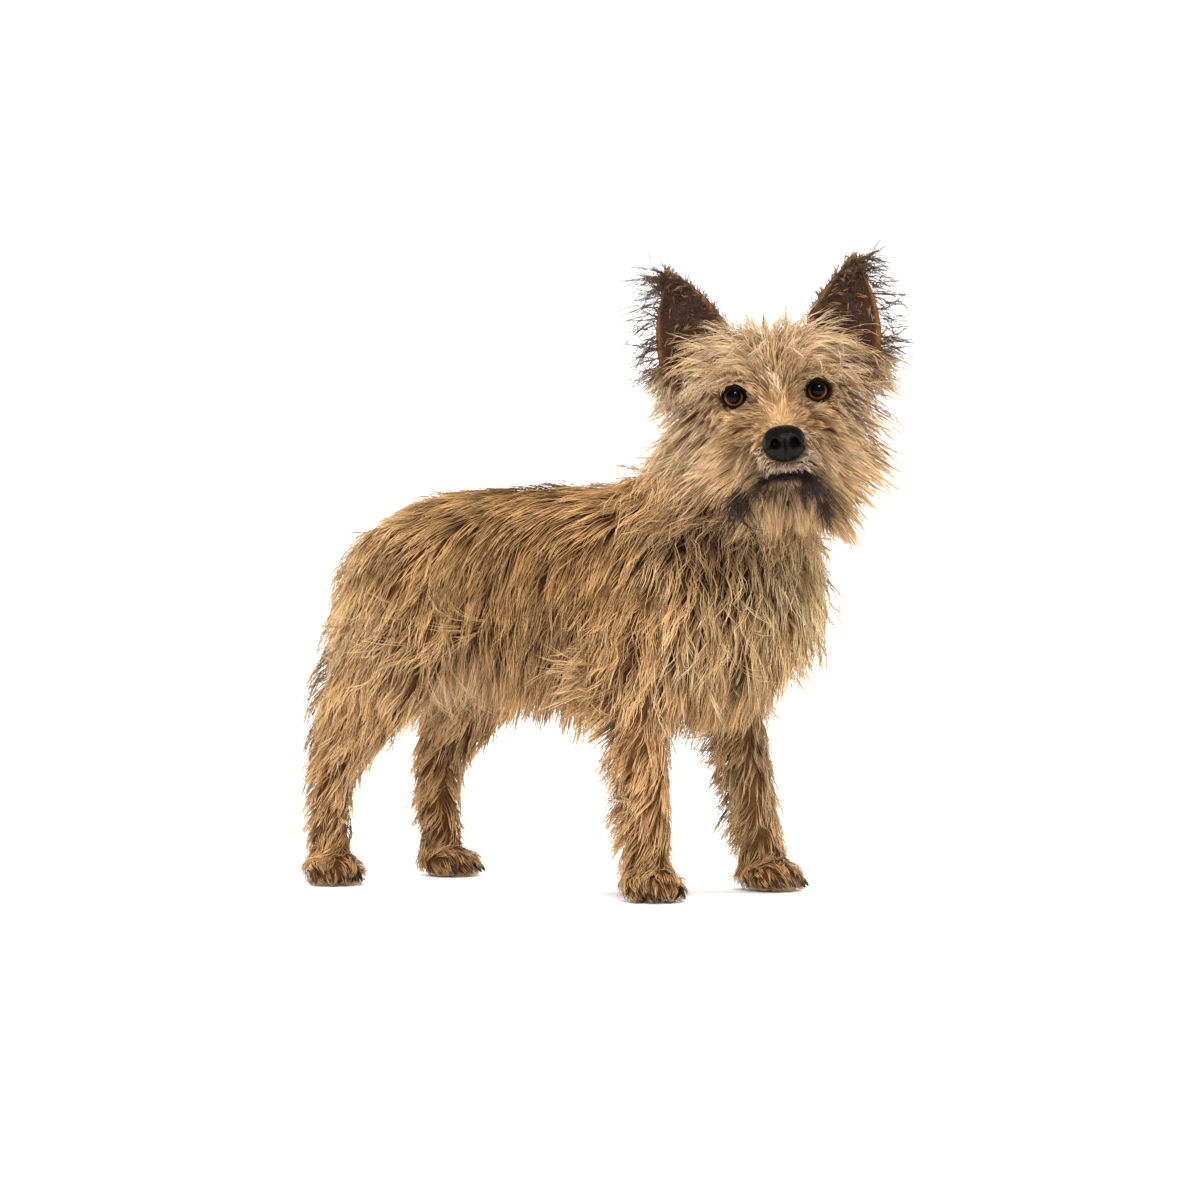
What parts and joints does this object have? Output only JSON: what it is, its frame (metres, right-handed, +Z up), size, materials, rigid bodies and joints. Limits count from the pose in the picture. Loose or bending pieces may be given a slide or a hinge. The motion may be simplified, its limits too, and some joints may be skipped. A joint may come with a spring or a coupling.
{
  "type": "dog",
  "caption": "Small rough-coated terrier standing square on all fours, long shaggy coat, pricked ears, head turned to its right.",
  "frame": {"origin": "on the floor under the middle of the model's box", "axes": "+X to where the body faces, +Y to the dog's left, +Z up"},
  "size_m": [0.4976, 0.2182, 0.4639],
  "materials": {
    "sandy_coat": "long rough sandy-gold coat with dark brown under the locks",
    "pale_coat": "pale sand and cream rough coat",
    "dark_coat": "dark brown to black coat of the ears and tail",
    "eye": "wet amber-brown eye with a dark pupil",
    "nose_leather": "moist black nose leather",
    "claw": "smooth dark horn"
  },
  "bodies": {
    "root": {"eye_right": "eye", "eye_left": "eye", "nose": "nose_leather", "head": "pale_coat", "ear_right": "dark_coat", "ear_left": "dark_coat", "neck": "pale_coat", "torso": "sandy_coat", "tail": "dark_coat", "leg_fore_right": "sandy_coat", "paw_fore_right": "sandy_coat", "claw_fore_right_1": "claw", "claw_fore_right_2": "claw", "claw_fore_right_3": "claw", "claw_fore_right_4": "claw", "leg_fore_left": "sandy_coat", "paw_fore_left": "sandy_coat", "claw_fore_left_1": "claw", "claw_fore_left_2": "claw", "claw_fore_left_3": "claw", "claw_fore_left_4": "claw", "leg_hind_right": "sandy_coat", "paw_hind_right": "sandy_coat", "claw_hind_right_1": "claw", "claw_hind_right_2": "claw", "claw_hind_right_3": "claw", "claw_hind_right_4": "claw", "leg_hind_left": "sandy_coat", "paw_hind_left": "sandy_coat", "claw_hind_left_1": "claw", "claw_hind_left_2": "claw", "claw_hind_left_3": "claw", "claw_hind_left_4": "claw"}
  },
  "joints": []
}
